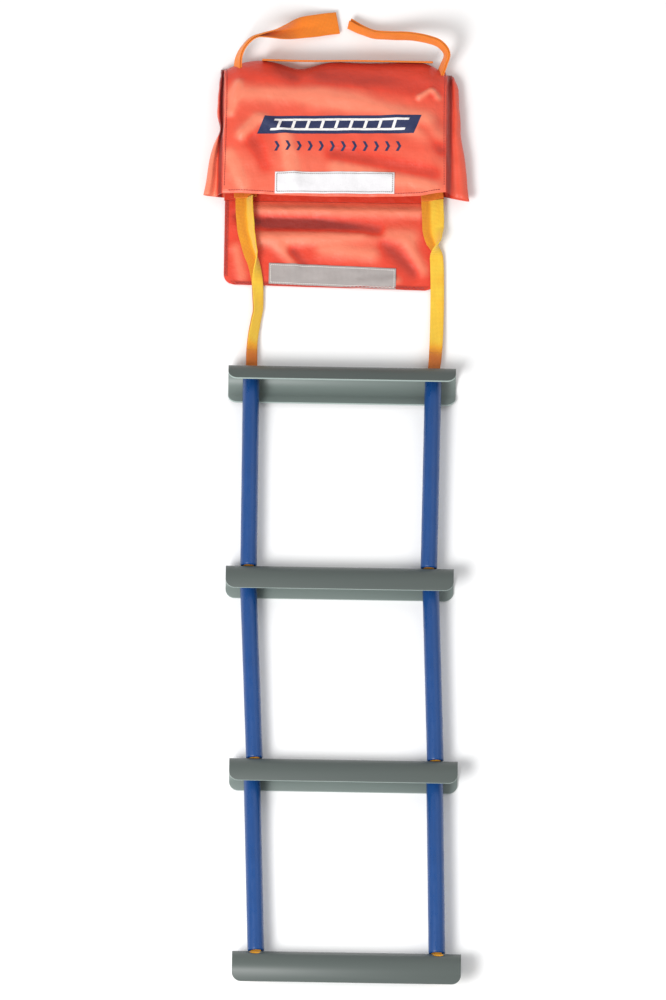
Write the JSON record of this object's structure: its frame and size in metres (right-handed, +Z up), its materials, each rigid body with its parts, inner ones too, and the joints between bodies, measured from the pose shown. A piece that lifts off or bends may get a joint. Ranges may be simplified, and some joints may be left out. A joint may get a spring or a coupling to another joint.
{
  "type": "escape ladder",
  "caption": "Webbing escape ladder with channel rungs, spacer tubes and a stowage bag, laid out flat with the bag open.",
  "frame": {"origin": "on the ground, under the middle of the laid-out ladder", "axes": "+Y along the ladder to the bag, +Z up from the ground, +X across the rungs"},
  "size_m": [0.3572, 1.3405, 0.0508],
  "materials": {
    "rung_plastic": "extruded, fine satin grain",
    "tube_plastic": "extruded tube, soft gloss",
    "webbing": "flat woven polyester webbing",
    "bag_nylon": "coated plain-weave nylon",
    "loop_tape": "brushed loop pile",
    "hook_tape": "moulded hooks on woven tape",
    "washer_nylon": "moulded nylon"
  },
  "bodies": {
    "bag": {"bag_back_panel": "bag_nylon", "bag_front_panel": "bag_nylon", "bag_left_gusset": "bag_nylon", "bag_right_gusset": "bag_nylon", "loop_strip": "loop_tape", "top_strap": "webbing", "left_strap_in_bag": "webbing", "right_strap_in_bag": "webbing", "left_tail": "webbing", "right_tail": "webbing"},
    "flap": {"flap": "bag_nylon", "hook_strip": "hook_tape"},
    "straps": {"left_strap": "webbing", "right_strap": "webbing"},
    "rung_1": {"rung_1": "rung_plastic", "left_webbing_in_rung_1": "webbing", "right_webbing_in_rung_1": "webbing"},
    "rung_2": {"rung_2": "rung_plastic", "left_webbing_in_rung_2": "webbing", "right_webbing_in_rung_2": "webbing"},
    "rung_3": {"rung_3": "rung_plastic", "left_webbing_in_rung_3": "webbing", "right_webbing_in_rung_3": "webbing"},
    "rung_4": {"rung_4": "rung_plastic", "left_webbing_in_rung_4": "webbing", "right_webbing_in_rung_4": "webbing", "left_stop_washer": "washer_nylon", "left_end_stop": "webbing", "right_stop_washer": "washer_nylon", "right_end_stop": "webbing"},
    "tubes_1": {"left_tube_1": "tube_plastic", "right_tube_1": "tube_plastic", "left_webbing_1": "webbing", "right_webbing_1": "webbing"},
    "tubes_2": {"left_tube_2": "tube_plastic", "right_tube_2": "tube_plastic", "left_webbing_2": "webbing", "right_webbing_2": "webbing"},
    "tubes_3": {"left_tube_3": "tube_plastic", "right_tube_3": "tube_plastic", "left_webbing_3": "webbing", "right_webbing_3": "webbing"}
  },
  "joints": [
    {"name": "flap_fold", "type": "hinge", "parent": "bag", "child": "flap", "pos_m": [0, 0.44057, 0], "axis": [-1, 0, 0], "range_deg": [-110, 0]},
    {"name": "strap_fold", "type": "hinge", "parent": "bag", "child": "straps", "pos_m": [0, 0.43687, 0.008], "axis": [-1, 0, 0], "range_deg": [0, 40]},
    {"name": "rung_1_swing", "type": "hinge", "parent": "straps", "child": "rung_1", "pos_m": [0, 0.20406, 0.01273], "axis": [-1, 0, 0], "range_deg": [-68, 12]},
    {"name": "tubes_1_fold", "type": "hinge", "parent": "rung_1", "child": "tubes_1", "pos_m": [0, 0.18287, 0.024], "axis": [-1, 0, 0], "range_deg": [-3, 58]},
    {"name": "rung_2_swing", "type": "hinge", "parent": "tubes_1", "child": "rung_2", "pos_m": [0, -0.09193, 0.024], "axis": [-1, 0, 0], "range_deg": [-42, 38]},
    {"name": "tubes_2_fold", "type": "hinge", "parent": "rung_2", "child": "tubes_2", "pos_m": [0, -0.09193, 0.024], "axis": [-1, 0, 0], "range_deg": [-28, 32]},
    {"name": "rung_3_swing", "type": "hinge", "parent": "tubes_2", "child": "rung_3", "pos_m": [0, -0.35458, 0.024], "axis": [-1, 0, 0], "range_deg": [-42, 38]},
    {"name": "tubes_3_fold", "type": "hinge", "parent": "rung_3", "child": "tubes_3", "pos_m": [0, -0.35458, 0.024], "axis": [-1, 0, 0], "range_deg": [-28, 31]},
    {"name": "rung_4_swing", "type": "hinge", "parent": "tubes_3", "child": "rung_4", "pos_m": [0, -0.61724, 0.02681], "axis": [-1, 0, 0], "range_deg": [-16, 64]}
  ]
}
